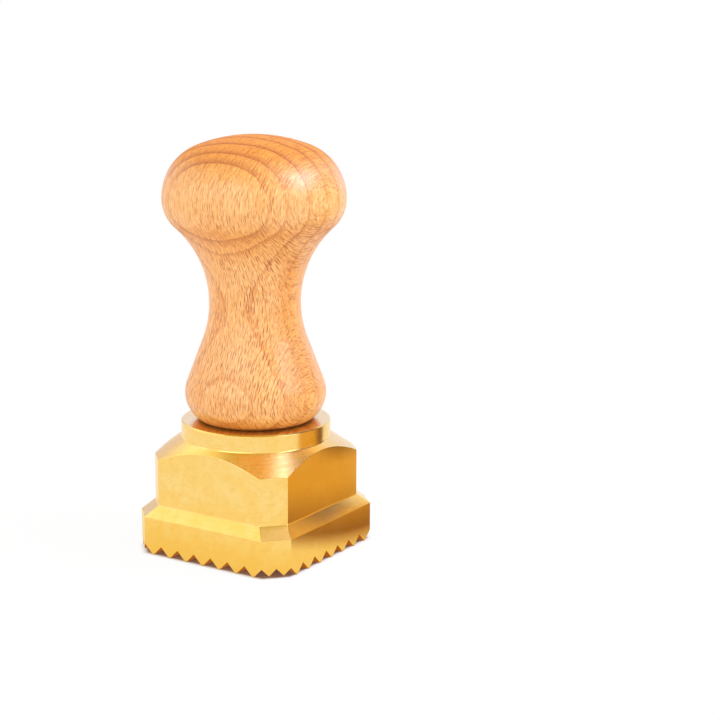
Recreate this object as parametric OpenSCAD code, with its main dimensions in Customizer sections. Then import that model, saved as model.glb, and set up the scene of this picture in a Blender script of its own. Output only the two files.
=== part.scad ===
// Square ravioli stamp: a machined brass die with a toothed cutting rim under a turned collar,
// and a turned beech handle held on it by a steel stud.
// Millimetres, +Z up. The origin is the centre of the square that the tooth tips stand on.

/* [Flange] */
// Width of the square flange across two opposite sides
flange_w = 45; // [42:0.5:52]
// Leg of the chamfer on each corner of the flange
flange_corner = 5; // [4:0.1:6.5]
// Height of the flange's upright sides above the tooth tips
flange_h = 9.3; // [7.5:0.1:12]
// Height that the sloping ledge climbs from the flange to the block
ledge_rise = 2.6; // [1.5:0.1:4]

/* [Teeth] */
// Number of teeth along each straight side
side_teeth = 7; // [6:1:9]
// Number of teeth along each chamfered corner
corner_teeth = 2; // [1:1:3]
// Angle of the V grooves between the teeth, in degrees
groove_angle = 90; // [80:1:110]
// Width of the flat on the tip of a side tooth
tooth_flat = 0.2; // [0.1:0.05:0.6]

/* [Underside] */
// Width of the toothed rim
rim_w = 4; // [3:0.1:5]
// Step from the bottoms of the grooves up to the sealing land inside the rim
land_step = 0.8; // [0.4:0.1:1.5]
// Diameter of the round pocket for the filling
pocket_d = 30; // [25:0.5:33]
// Height of the pocket's roof above the tooth tips
pocket_h = 14; // [10:0.5:15]
// Radius between the pocket's wall and its roof
pocket_round = 3; // [1:0.5:4]
// Bevel on the mouth of the pocket
pocket_bevel = 0.6; // [0.2:0.1:1]

/* [Block and collar] */
// Width of the square block above the ledge
block_w = 39.8; // [37:0.1:41]
// Leg of the chamfer on each corner of the block
block_corner = 4.8; // [4:0.1:6]
// Radius in the angle between the ledge and the block
ledge_round = 0.6; // [0.2:0.1:1.2]
// Slope of the cone turned on the top of the block, in degrees
cone_angle = 34.5; // [28:0.5:40]
// Height of the foot of the collar above the tooth tips
collar_z = 27.9; // [26:0.1:32]
// Diameter of the round collar
collar_d = 36.7; // [34:0.1:37]
// Height of the collar
collar_h = 4.2; // [3:0.1:6]
// Radius in the angle at the foot of the collar
collar_round = 0.5; // [0.2:0.1:1]
// Bevel on the top edge of the collar
collar_bevel = 0.3; // [0.1:0.1:0.8]

/* [Handle] */
// Height of the handle above the collar
handle_h = 69.4; // [62:0.2:80]
// Diameter of the knob at its widest
knob_d = 44.4; // [41:0.2:48]
// Drop from the top of the handle to the widest part of the knob
knob_drop = 15.2; // [14:0.1:16.5]
// Radius of the crown on the top of the knob
crown_r = 38; // [35:0.5:41]
// Radius of the shoulder between the crown and the widest part
shoulder_r = 13.4; // [12.4:0.1:14.6]
// Radius under the widest part of the knob
under_r = 9.1; // [8.2:0.1:10]
// Diameter of the neck at its slimmest
neck_d = 22.3; // [20:0.1:25]
// Height of the slimmest part of the neck above the collar
neck_z = 29; // [27.5:0.1:32]
// Radius of the hollow curve below the slimmest part
neck_r = 25.2; // [23:0.1:27]
// Diameter of the bulge at the foot of the handle
bulge_d = 34.6; // [32:0.1:36]
// Height of the widest part of the bulge above the collar
bulge_z = 6.75; // [6:0.05:7.4]
// Radius of the bulge
bulge_r = 7.95; // [7.6:0.05:9]

/* [Stud] */
// Diameter of the end that screws into the die
stud_d = 8; // [6:0.5:10]
// Length of the stud inside the die
stud_die_l = 13; // [9:0.5:13.5]
// Diameter of the end that screws into the handle
stud_wood_d = 7; // [5:0.5:9]
// Length of the stud inside the handle
stud_wood_l = 25; // [18:0.5:32]
// Bevel on the stud's lower end
stud_bevel = 1; // [0.5:0.1:1.5]
// Length of the pointed tip in the handle
stud_tip_l = 5; // [3:0.5:8]
// Gap all round the stud in its two holes
stud_gap = 0.05; // [0.02:0.01:0.2]
// Gap between each end of the stud and the bottom of its hole
stud_end_gap = 0.3; // [0.1:0.1:1]
// Bevel on the mouth of each hole
hole_bevel = 0.8; // [0.3:0.1:1.2]

/* [Hidden] */
$fn = 96;

// Extra length of a cutting shape beyond the face that it leaves
lap = 1;
// Turn between two neighbouring points of a small round, in degrees
round_step = 15;
// Turn between two neighbouring points of the handle's outline, in degrees
outline_step = 4;
// Included angle of the drilled ends of the stud's holes, in degrees
drill_angle = 118;

collar_top = collar_z + collar_h;

// Half the distance between two opposite chamfered corners
flange_across = (flange_w - flange_corner) / sqrt(2);
block_across = (block_w - block_corner) / sqrt(2);

straight = flange_w - 2 * flange_corner;
side_pitch = straight / side_teeth;
corner_pitch = flange_corner * sqrt(2) / corner_teeth;
groove_slope = 1 / tan(groove_angle / 2);
groove_depth = (side_pitch - tooth_flat) / 2 * groove_slope;
// Turn of the groove at each edge between a straight side and a chamfered corner
vertex_turn = 45 / 2;
// Length of every groove inward from its face, enough to leave the rim at its corners too
groove_l = 1.5 * rim_w;

land_z = groove_depth + land_step;
recess_w = flange_w - 2 * rim_w;
recess_corner = recess_w - (flange_across - rim_w) * sqrt(2);

// Circles that the handle's outline runs along, each as [distance from the axis, height]
crown_c = [0, handle_h - crown_r];
under_c = [knob_d / 2 - under_r, handle_h - knob_drop];
shoulder_c = meet(crown_c, crown_r - shoulder_r, under_c, shoulder_r - under_r);
// The hollow curve above the slimmest part has the radius that just meets the curve under the knob
neck_inset = under_c.x - neck_d / 2;
hollow_r = (pow(under_c.y - neck_z, 2) + pow(neck_inset, 2) - pow(under_r, 2)) / (2 * (under_r + neck_inset));
hollow_c = [neck_d / 2 + hollow_r, neck_z];
neck_c = [neck_d / 2 + neck_r, neck_z];
bulge_c = [bulge_d / 2 - bulge_r, bulge_z];
// Direction from the bulge's centre to the point where the straight flank leaves it
flank_turn = heading(bulge_c, neck_c) - acos((bulge_r + neck_r) / norm(neck_c - bulge_c));

// Direction from one point to another, in degrees
function heading(from, to) = atan2(to.y - from.y, to.x - from.x);

// Third side of a right triangle from its longest side and another
function side_of(longest, other) = sqrt(longest * longest - other * other);

// Meeting point of two circles, on the left of the line from the first centre to the second
function meet(a, a_r, b, b_r) =
    let (
        span = norm(b - a),
        along = (span * span + a_r * a_r - b_r * b_r) / (2 * span),
        ahead = (b - a) / span,
        left = [-ahead.y, ahead.x]
    )
    a + along * ahead + side_of(a_r, along) * left;

// Points along an arc, about step degrees apart; skip = 1 leaves out the first of them
function arc(centre, r, from, to, step, skip = 0) =
    let (count = max(1, ceil(abs(to - from) / step)))
    [
        for (i = [skip : count])
            let (turn = from + (to - from) * i / count)
            centre + r * [cos(turn), sin(turn)]
    ];

// Points that round the corner b between its neighbours a and c with radius r
function rounded(a, b, c, r) =
    let (
        to_a = (a - b) / norm(a - b),
        to_c = (c - b) / norm(c - b),
        half = acos(to_a * to_c) / 2,
        middle = (to_a + to_c) / norm(to_a + to_c),
        centre = b + middle * r / sin(half),
        start = heading(centre, b + to_a * r / tan(half)),
        sweep = (cross(to_a, to_c) > 0 ? -1 : 1) * (180 - 2 * half)
    )
    arc(centre, r, start, start + sweep, round_step);

// Corners of a square of width w whose corners are cut by a chamfer of the given leg
function cut_square(w, leg) =
    [
        for (quarter = [0 : 3], end = [-1, 1])
            let (
                x = w / 2,
                y = end * (w / 2 - leg)
            )
            [x * cos(90 * quarter) - y * sin(90 * quarter), x * sin(90 * quarter) + y * cos(90 * quarter)]
    ];

// Side view of the die, from its flange up past its block, at two half widths
function half_outline(flange_half, block_half) =
    let (
        ledge_foot = [flange_half, flange_h],
        ledge_top = [block_half, flange_h + ledge_rise],
        block_top = [block_half, collar_top + lap]
    )
    concat(
        [[flange_half, 0], ledge_foot],
        rounded(ledge_foot, ledge_top, block_top, ledge_round),
        [block_top]
    );

// The side view run right across the die
module across(flange_half, block_half) {
    right = half_outline(flange_half, block_half);
    left = [for (i = [len(right) - 1 : -1 : 0]) [-right[i].x, right[i].y]];
    rotate([90, 0, 0])
        linear_extrude(2 * flange_w, center = true)
            polygon(concat(right, left));
}

// What the lathe leaves: the cone over the block and the collar
module turned_top() {
    cone_r = flange_w;
    foot = [collar_d / 2, collar_z];
    rim = [cone_r, collar_z - (cone_r - collar_d / 2) * tan(cone_angle)];
    edge = [collar_d / 2, collar_top - collar_bevel];
    rotate_extrude()
        polygon(concat(
            [[0, -lap], [cone_r, -lap], rim],
            rounded(rim, foot, edge, collar_round),
            [edge, [collar_d / 2 - collar_bevel, collar_top], [0, collar_top]]
        ));
}

// One V groove running in along -X from a face at x = reach, narrowed by the factor squeeze
module groove(reach, squeeze = 1) {
    half = (groove_depth + lap) / groove_slope * squeeze;
    translate([reach - groove_l, 0, 0])
        rotate([90, 0, 90])
            linear_extrude(groove_l + lap)
                polygon([[-half, -lap], [half, -lap], [0, groove_depth]]);
}

// All the grooves of one side, of the corner that follows it and of the edges between them
module groove_set() {
    for (i = [1 : side_teeth - 1])
        translate([0, i * side_pitch - straight / 2, 0])
            groove(flange_w / 2);
    for (end = [-1, 1])
        translate([flange_w / 2, end * straight / 2, 0])
            rotate(end * vertex_turn)
                groove(0, cos(vertex_turn));
    rotate(45)
        for (i = [1 : 1 : corner_teeth - 1])
            translate([0, (i - corner_teeth / 2) * corner_pitch, 0])
                groove(flange_across);
}

// The pocket for the filling, with its mouth in the sealing land
module pocket() {
    wall = pocket_d / 2;
    rotate_extrude()
        polygon(concat(
            [[0, 0], [wall + pocket_bevel, 0], [wall + pocket_bevel, land_z], [wall, land_z + pocket_bevel]],
            rounded([wall, 0], [wall, pocket_h], [0, pocket_h], pocket_round),
            [[0, pocket_h]]
        ));
}

// A drilled hole going up from z = 0, with a bevelled mouth and a pointed end
module drilled_hole(d, depth) {
    r = d / 2;
    rotate_extrude()
        polygon([
            [0, -lap],
            [r + hole_bevel + lap, -lap],
            [r, hole_bevel],
            [r, depth],
            [0, depth + r / tan(drill_angle / 2)]
        ]);
}

module die() {
    color("goldenrod")
        difference() {
            intersection() {
                across(flange_w / 2, block_w / 2);
                rotate(90) across(flange_w / 2, block_w / 2);
                rotate(45) across(flange_across, block_across);
                rotate(-45) across(flange_across, block_across);
                turned_top();
            }
            for (quarter = [0 : 3])
                rotate(90 * quarter) groove_set();
            translate([0, 0, -lap])
                linear_extrude(land_z + lap) polygon(cut_square(recess_w, recess_corner));
            pocket();
            translate([0, 0, collar_top])
                mirror([0, 0, 1]) drilled_hole(stud_d + 2 * stud_gap, stud_die_l + stud_end_gap);
        }
}

module handle() {
    shoulder_foot = heading(shoulder_c, under_c);
    outline = concat(
        arc(bulge_c, bulge_r, -asin(bulge_z / bulge_r), flank_turn, outline_step),
        arc(neck_c, neck_r, flank_turn + 180, 180, outline_step),
        arc(hollow_c, hollow_r, 180, heading(hollow_c, under_c), outline_step, 1),
        arc(under_c, under_r, heading(under_c, hollow_c), shoulder_foot, outline_step, 1),
        arc(shoulder_c, shoulder_r, shoulder_foot, heading(crown_c, shoulder_c), outline_step, 1),
        arc(crown_c, crown_r, heading(crown_c, shoulder_c), 90, outline_step, 1)
    );
    color("burlywood")
        translate([0, 0, collar_top])
            difference() {
                rotate_extrude() polygon(concat([[0, 0]], outline));
                drilled_hole(stud_wood_d + 2 * stud_gap, stud_wood_l + stud_end_gap);
            }
}

module stud() {
    die_r = stud_d / 2;
    wood_r = stud_wood_d / 2;
    color("silver")
        translate([0, 0, collar_top])
            rotate_extrude()
                polygon([
                    [0, -stud_die_l],
                    [die_r - stud_bevel, -stud_die_l],
                    [die_r, stud_bevel - stud_die_l],
                    [die_r, 0],
                    [wood_r, 0],
                    [wood_r, stud_wood_l - stud_tip_l],
                    [0, stud_wood_l]
                ]);
}

die();
handle();
stud();
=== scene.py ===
"""Square ravioli stamp: a satin brass die with a toothed rim, held by a turned beech handle.

Lengths are in metres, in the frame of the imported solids: +Z up, the origin at the centre of the
square that the tooth tips stand on, the front of the stamp towards -Y and its right towards +X.
The materials measure in millimetres instead.
"""

from __future__ import annotations

import logging
import math
from collections.abc import Sequence
from dataclasses import dataclass, field
from enum import Enum

import bpy
import numpy as np
from mathutils import Matrix, Vector


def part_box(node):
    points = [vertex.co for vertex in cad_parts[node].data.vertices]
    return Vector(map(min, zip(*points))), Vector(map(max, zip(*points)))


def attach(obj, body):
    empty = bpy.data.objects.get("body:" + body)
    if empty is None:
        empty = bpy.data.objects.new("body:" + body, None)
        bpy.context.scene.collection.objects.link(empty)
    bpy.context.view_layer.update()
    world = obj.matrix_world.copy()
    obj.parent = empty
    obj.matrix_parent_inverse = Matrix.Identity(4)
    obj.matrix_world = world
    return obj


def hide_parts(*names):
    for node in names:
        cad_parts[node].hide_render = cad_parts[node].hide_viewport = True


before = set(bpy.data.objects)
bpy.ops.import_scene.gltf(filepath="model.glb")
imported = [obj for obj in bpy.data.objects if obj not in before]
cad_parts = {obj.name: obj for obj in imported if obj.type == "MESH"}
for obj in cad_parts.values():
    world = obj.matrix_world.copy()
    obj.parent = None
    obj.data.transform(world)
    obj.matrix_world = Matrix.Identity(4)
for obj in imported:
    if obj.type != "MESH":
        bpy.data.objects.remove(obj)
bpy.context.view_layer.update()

LOG = logging.getLogger("stamp")
MM = 0.001
BODY = "root"
SIDES = 4
QUARTER = math.pi / 2
WELD = 0.001 * MM
AXIS_WELD = 0.0001 * MM

Colour = tuple[float, float, float]
Triple = tuple[float, float, float]
Pair = tuple[float, float]
Ease = tuple[float, float, float, float]


class Term:
    """A node's output that takes part in sums; each operation adds its Math node."""

    def __init__(self, graph: Graph, socket: bpy.types.NodeSocket) -> None:
        """Wraps one output socket of the graph."""
        self.graph = graph
        self.socket = socket

    def __add__(self, other: Operand) -> Term:
        """self + other."""
        return self.graph.maths("ADD", self, other)

    __radd__ = __add__

    def __sub__(self, other: Operand) -> Term:
        """self - other."""
        return self.graph.maths("SUBTRACT", self, other)

    def __rsub__(self, other: Operand) -> Term:
        """other - self."""
        return self.graph.maths("SUBTRACT", other, self)

    def __mul__(self, other: Operand) -> Term:
        """self * other."""
        return self.graph.maths("MULTIPLY", self, other)

    __rmul__ = __mul__

    def __truediv__(self, other: Operand) -> Term:
        """self / other."""
        return self.graph.maths("DIVIDE", self, other)

    def __pow__(self, other: Operand) -> Term:
        """self to the power of other."""
        return self.graph.maths("POWER", self, other)

    def __mod__(self, other: Operand) -> Term:
        """Remainder of self over other."""
        return self.graph.maths("MODULO", self, other)

    def floor(self) -> Term:
        """The whole number below self."""
        return self.graph.maths("FLOOR", self)

    def between(self, low: Operand, high: Operand, start: float = 0.0, end: float = 1.0) -> Term:
        """Self eased from start to end as it goes from low to high.

        Args:
            low: value of self at which the result is start.
            high: value of self at which the result is end.
            start: result at low and before it.
            end: result at high and past it.

        Returns:
            The eased value.
        """
        sockets = {"Value": self, "From Min": low, "From Max": high, "To Min": start, "To Max": end}
        return self.graph.out(
            "ShaderNodeMapRange", sockets, "Result", interpolation_type="SMOOTHSTEP"
        )


Operand = Term | float


class Ray(Enum):
    """A kind of ray, by the name of its output on the Light Path node."""

    CAMERA = "Is Camera Ray"
    GLOSS = "Is Glossy Ray"
    GLASS = "Is Transmission Ray"


@dataclass(frozen=True)
class Noise:
    """A noise texture: its scale, and the number and weight of its finer layers."""

    scale: float
    detail: float
    roughness: float


class Graph:
    """A node tree and the few ways in which nodes are added to it."""

    def __init__(self, tree: bpy.types.NodeTree) -> None:
        """Wraps a shader or geometry tree."""
        self.tree = tree

    @classmethod
    def of(cls, owner: bpy.types.Material | bpy.types.World) -> Graph:
        """The emptied node tree of a material or world."""
        owner.use_nodes = True
        owner.node_tree.nodes.clear()
        return cls(owner.node_tree)

    def add(self, kind: str, sockets: dict | None = None, **settings: object) -> bpy.types.Node:
        """Adds one node.

        Args:
            kind: Blender's name of the node type.
            sockets: value or Term for each input that is set, by name or index.
            **settings: properties of the node, set before its inputs.

        Returns:
            The new node.
        """
        node = self.tree.nodes.new(kind)
        for name, value in settings.items():
            setattr(node, name, value)
        for name, value in (sockets or {}).items():
            if isinstance(value, Term):
                self.tree.links.new(value.socket, node.inputs[name])
            else:
                node.inputs[name].default_value = value
        return node

    def out(
        self, kind: str, sockets: dict | None = None, output: int | str = 0, **settings: object
    ) -> Term:
        """Adds one node, as add does, and gives the output of that name or index."""
        return Term(self, self.add(kind, sockets, **settings).outputs[output])

    def maths(self, operation: str, *values: Operand) -> Term:
        """The result of one Math node."""
        return self.out("ShaderNodeMath", dict(enumerate(values)), operation=operation)

    def vector(self, operation: str, *values: Term | Triple) -> Term:
        """The result of one Vector Math node: a number for a dot product or length, else a vector."""
        output = "Value" if operation in ("DOT_PRODUCT", "LENGTH") else "Vector"
        return self.out("ShaderNodeVectorMath", dict(enumerate(values)), output, operation=operation)

    def towards(self, vector: Term, azimuth: float, elevation: float = 0.0) -> Term:
        """How far a vector reaches in the direction of an azimuth and elevation, in degrees."""
        return self.vector("DOT_PRODUCT", vector, tuple(direction(azimuth, elevation)))

    def combine(self, x: Operand = 0.0, y: Operand = 0.0, z: Operand = 0.0) -> Term:
        """A vector from its three parts."""
        return self.out("ShaderNodeCombineXYZ", {0: x, 1: y, 2: z})

    def split(self, vector: Term) -> tuple[Term, Term, Term]:
        """The three parts of a vector."""
        node = self.add("ShaderNodeSeparateXYZ", {0: vector})
        return tuple(Term(self, output) for output in node.outputs)

    def tint(self, share: Operand, start: Colour | Term, end: Colour | Term) -> Term:
        """Start coloured with end, by one Mix node.

        Args:
            share: share of end, from 0 to 1.
            start: first colour.
            end: second colour.

        Returns:
            The mixed colour.
        """
        start, end = ((*part, 1.0) if isinstance(part, tuple) else part for part in (start, end))
        return self.out("ShaderNodeMix", {0: share, 6: start, 7: end}, 2, data_type="RGBA")

    def ramp(self, value: Operand, stops: Sequence[tuple[float, Colour]]) -> Term:
        """The colour at a value on a ramp.

        Args:
            value: place on the ramp, from 0 to 1.
            stops: place and colour of each stop, in rising order.

        Returns:
            The ramp's colour there.
        """
        node = self.add("ShaderNodeValToRGB", {0: value})
        elements = node.color_ramp.elements
        while len(elements) < len(stops):
            elements.new(1.0)
        for element, (place, colour) in zip(elements, stops):
            element.position = place
            element.color = (*colour, 1.0)
        return Term(self, node.outputs[0])

    def noise(self, vector: Term, noise: Noise) -> Term:
        """The grey value of a noise texture."""
        sockets = {"Scale": noise.scale, "Detail": noise.detail, "Roughness": noise.roughness}
        return self.out("ShaderNodeTexNoise", {"Vector": vector, **sockets})

    def place(self) -> Term:
        """Position on the object, in millimetres."""
        spot = self.out("ShaderNodeTexCoord", output="Object")
        return self.out("ShaderNodeVectorMath", {0: spot, "Scale": 1 / MM}, operation="SCALE")

    def normal(self) -> Term:
        """Direction in which the surface faces."""
        return self.out("ShaderNodeNewGeometry", output="Normal")

    def on(self, ray: Ray) -> Term:
        """1 for rays of that kind, else 0."""
        return self.out("ShaderNodeLightPath", output=ray.value)

    def relief(self, height: Term, depth: float) -> Term:
        """The normal bent by a height from 0 to 1 that stands for this depth in metres."""
        sockets = {"Strength": 1.0, "Distance": depth / MM, "Height": height * MM}
        return self.out("ShaderNodeBump", sockets)

    def glow(self, colour: Term) -> Term:
        """A shader that gives off a colour as written."""
        return self.out("ShaderNodeEmission", {"Color": colour, "Strength": 1.0})

    def show(self, shader: Term) -> None:
        """Ends a material with this shader."""
        self.add("ShaderNodeOutputMaterial", {"Surface": shader})

    def close(self, sockets: dict) -> None:
        """Ends a material with one Principled shader that has these inputs."""
        self.show(self.out("ShaderNodeBsdfPrincipled", sockets))


class GeometryTree(Graph):
    """A geometry node tree with named inputs."""

    def __init__(self, name: str, sizes: dict[str, str]) -> None:
        """Starts the tree.

        Args:
            name: name of the tree.
            sizes: socket type of each named input after the geometry.
        """
        super().__init__(bpy.data.node_groups.new(name, "GeometryNodeTree"))
        face = self.tree.interface
        face.new_socket("Geometry", in_out="INPUT", socket_type="NodeSocketGeometry")
        self.sockets = {
            title: face.new_socket(title, in_out="INPUT", socket_type=kind)
            for title, kind in {**sizes, "Finish": "NodeSocketMaterial"}.items()
        }
        face.new_socket("Geometry", in_out="OUTPUT", socket_type="NodeSocketGeometry")
        self.start = self.add("NodeGroupInput")

    def given(self, title: str) -> Term:
        """The input of that name."""
        return Term(self, self.start.outputs[title])

    def position(self) -> Term:
        """Each point's position."""
        return self.out("GeometryNodeInputPosition")

    def index(self) -> Term:
        """Each point's index."""
        return self.out("GeometryNodeInputIndex")

    def moved(self, geometry: Term, position: Term) -> Term:
        """The geometry with its points at a new position."""
        return self.out("GeometryNodeSetPosition", {"Geometry": geometry, "Position": position})

    def welded(self, geometry: Term, distance: float) -> Term:
        """The geometry with points that lie closer than the distance made one."""
        sockets = {"Geometry": geometry, "Distance": distance}
        return self.out("GeometryNodeMergeByDistance", sockets)

    def joined(self, shapes: Sequence[Term]) -> Term:
        """Several geometries as one."""
        node = self.add("GeometryNodeJoinGeometry")
        for shape in shapes:
            self.tree.links.new(shape.socket, node.inputs[0])
        return Term(self, node.outputs[0])

    def end(self, geometry: Term) -> None:
        """Closes the tree with real geometry in the given finish."""
        real = self.out("GeometryNodeRealizeInstances", {"Geometry": geometry})
        finish = {"Geometry": real, "Material": self.given("Finish")}
        self.add("NodeGroupOutput", {0: self.out("GeometryNodeSetMaterial", finish)})

    def run(self, piece: bpy.types.Object, values: dict[str, object]) -> None:
        """Runs the tree on a piece and keeps the result as its plain mesh.

        Args:
            piece: object whose mesh goes in.
            values: value of each named input.
        """
        modifier = piece.modifiers.new(self.tree.name, "NODES")
        modifier.node_group = self.tree
        for title, value in values.items():
            modifier[self.sockets[title].identifier] = value
        settle(piece)


def grey(value: float) -> Colour:
    """The grey of that value."""
    return (value, value, value)


def direction(azimuth: float, elevation: float) -> Vector:
    """Unit vector towards an azimuth and elevation in degrees; azimuth 0 is the front, 90 the right."""
    turn, rise = math.radians(azimuth), math.radians(elevation)
    level = math.cos(rise)
    return Vector((math.sin(turn) * level, -math.cos(turn) * level, math.sin(rise)))


def heading(start: np.ndarray, end: np.ndarray) -> float:
    """Direction from one point to another, in radians."""
    return math.atan2(end[1] - start[1], end[0] - start[0])


def unit(vectors: np.ndarray) -> np.ndarray:
    """Rows scaled to length one."""
    return vectors / np.linalg.norm(vectors, axis=-1, keepdims=True)


def rounded(
    before: np.ndarray, corner: np.ndarray, after: np.ndarray, radius: float, steps: int
) -> list[np.ndarray]:
    """Rounds a corner, or a whole ring of corners at once, by circular arcs.

    Args:
        before: point or ring of points before the corner.
        corner: the sharp corner.
        after: point or ring of points after the corner.
        radius: radius of the arcs.
        steps: number of chords in each arc.

    Returns:
        steps + 1 points or rings from the start of the arcs to their end.
    """
    back, ahead = unit(before - corner), unit(after - corner)
    half = np.arccos(np.clip((back * ahead).sum(-1, keepdims=True), -1, 1)) / 2
    centre = corner + unit(back + ahead) * radius / np.sin(half)
    start = corner + back * radius / np.tan(half) - centre
    end = corner + ahead * radius / np.tan(half) - centre
    turn = math.pi - 2 * half
    return [
        centre + (np.sin((1 - share) * turn) * start + np.sin(share * turn) * end) / np.sin(turn)
        for share in np.linspace(0, 1, steps + 1)
    ]


def linked(name: str, data: bpy.types.ID) -> bpy.types.Object:
    """A new object with this data, in the scene."""
    item = bpy.data.objects.new(name, data)
    bpy.context.scene.collection.objects.link(item)
    return item


def new_piece(
    name: str, points: Sequence, edges: Sequence = (), faces: Sequence = ()
) -> bpy.types.Object:
    """An object with a mesh of these points, edges and faces, in the scene."""
    mesh = bpy.data.meshes.new(name)
    mesh.from_pydata([tuple(map(float, point)) for point in points], edges, faces)
    return linked(name, mesh)


def settle(piece: bpy.types.Object) -> None:
    """Turns a piece's modifiers into its plain mesh."""
    bpy.context.view_layer.update()
    depsgraph = bpy.context.evaluated_depsgraph_get()
    mesh = bpy.data.meshes.new_from_object(
        piece.evaluated_get(depsgraph), preserve_all_data_layers=True, depsgraph=depsgraph
    )
    piece.modifiers.clear()
    before, piece.data = piece.data, mesh
    bpy.data.meshes.remove(before)


def shade_evenly(piece: bpy.types.Object) -> None:
    """Lets a piece's larger faces set its shading, after its other modifiers."""
    even = piece.modifiers.new("Even shading", "WEIGHTED_NORMAL")
    even.keep_sharp = True
    settle(piece)


def mounted(piece: bpy.types.Object, node: str) -> bpy.types.Object:
    """Lets a piece ride on the stamp in place of a solid, which it hides."""
    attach(piece, BODY)
    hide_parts(node)
    return piece


@dataclass(frozen=True)
class SatinBrass:
    """Machined brass with a fine satin brushing that runs level round the stamp, and painted shade
    towards the floor.

    A share is how much of a colour is mixed in, and a span the values between which that starts
    and ends. Tilt is 1 on a level face and 0 on an upright one.
    """

    colour: Colour = (0.985, 0.655, 0.19)
    pale: Colour = (0.99, 0.70, 0.245)
    deep: Colour = (0.92, 0.54, 0.10)
    metallic: float = 0.97
    anisotropy: float = 0.20
    roughness: float = 0.20
    line_roughness: float = 0.08
    stroke_roughness: float = 0.08
    cone_roughness: float = 0.08
    streak: Noise = Noise(1.0, 3.0, 0.6)
    line_scale: Pair = (0.05, 1 / 0.30)
    line_depth: float = 0.0006 * MM
    stroke_scale: Pair = (0.35, 2.6)
    stroke_span: Pair = (0.50, 0.80)
    stroke_share: float = 0.50
    cloud: Noise = Noise(0.22, 3.0, 0.55)
    cloud_span: Pair = (0.40, 0.68)
    stain: Noise = Noise(0.60, 4.0, 0.62)
    stain_span: Pair = (0.48, 0.72)
    stain_share: float = 0.42
    grain: Noise = Noise(3.2, 2.0, 0.6)
    grain_span: Pair = (0.50, 0.75)
    grain_share: float = 0.50
    grain_depth: float = 0.12
    # Painted shade: the brass deepens towards the floor, over the flange.
    low_shade_height: Pair = (10.5, 1.0)
    low_shade_share: float = 0.55
    level_tilt: Pair = (0.93, 0.99)
    cone_tilt_from: Pair = (0.74, 0.80)
    cone_tilt_to: Pair = (0.90, 0.85)
    cone_height: Pair = (19.0, 20.5)

    def material(self) -> bpy.types.Material:
        """The brass as a material on object coordinates.

        Returns:
            The new material.
        """
        material = bpy.data.materials.new("satin_brass")
        graph = Graph.of(material)
        place = graph.place()
        x, y, z = graph.split(place)
        tilt = graph.maths("ABSOLUTE", graph.split(graph.normal())[2])
        on_cone = tilt.between(*self.cone_tilt_from) * tilt.between(*self.cone_tilt_to)
        on_cone = on_cone * z.between(*self.cone_height)
        from_axis = (x * x + y * y) ** 0.5
        height = z + (from_axis - z) * tilt.between(*self.level_tilt)
        lines = self.brushing(graph, x, y, height, self.line_scale)
        strokes = self.brushing(graph, x, y, height, self.stroke_scale)
        grain = graph.noise(place, self.grain)
        cloud = graph.noise(place, self.cloud)
        tone = graph.tint(cloud.between(*self.cloud_span), self.colour, self.pale)
        for share in (
            graph.noise(place, self.stain).between(*self.stain_span) * self.stain_share,
            # Painted shade towards the floor.
            z.between(*self.low_shade_height) * self.low_shade_share,
            strokes.between(*self.stroke_span) * self.stroke_share,
            grain.between(*self.grain_span) * self.grain_share,
        ):
            tone = graph.tint(share, tone, self.deep)
        rough = self.roughness + (lines - 0.5) * self.line_roughness
        rough = rough + (strokes - 0.5) * self.stroke_roughness + on_cone * self.cone_roughness
        graph.close(
            {
                "Base Color": tone,
                "Metallic": self.metallic,
                "Roughness": rough,
                "Anisotropic": self.anisotropy,
                "Normal": graph.relief(lines + grain * self.grain_depth, self.line_depth),
            }
        )
        return material

    def brushing(self, graph: Graph, x: Term, y: Term, height: Term, scale: Pair) -> Term:
        """Noise drawn out level round the stamp.

        Args:
            graph: the material's nodes.
            x: place towards the right.
            y: place towards the back.
            height: height, or distance from the axis on a level face.
            scale: how fine the noise is along the brushing and across it.

        Returns:
            The grey value of the noise.
        """
        along, across = scale
        return graph.noise(graph.combine(x * along, y * along, height * across), self.streak)


@dataclass(frozen=True)
class WoodSpot:
    """Where a point lies in the wood, in millimetres, and how the surface cuts the wood there.

    End is 1 on end grain, and ray is 1 where the rays run straight into the surface.
    """

    place: Term
    across: Term
    aside: Term
    along: Term
    end: Term
    ray: Term


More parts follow.
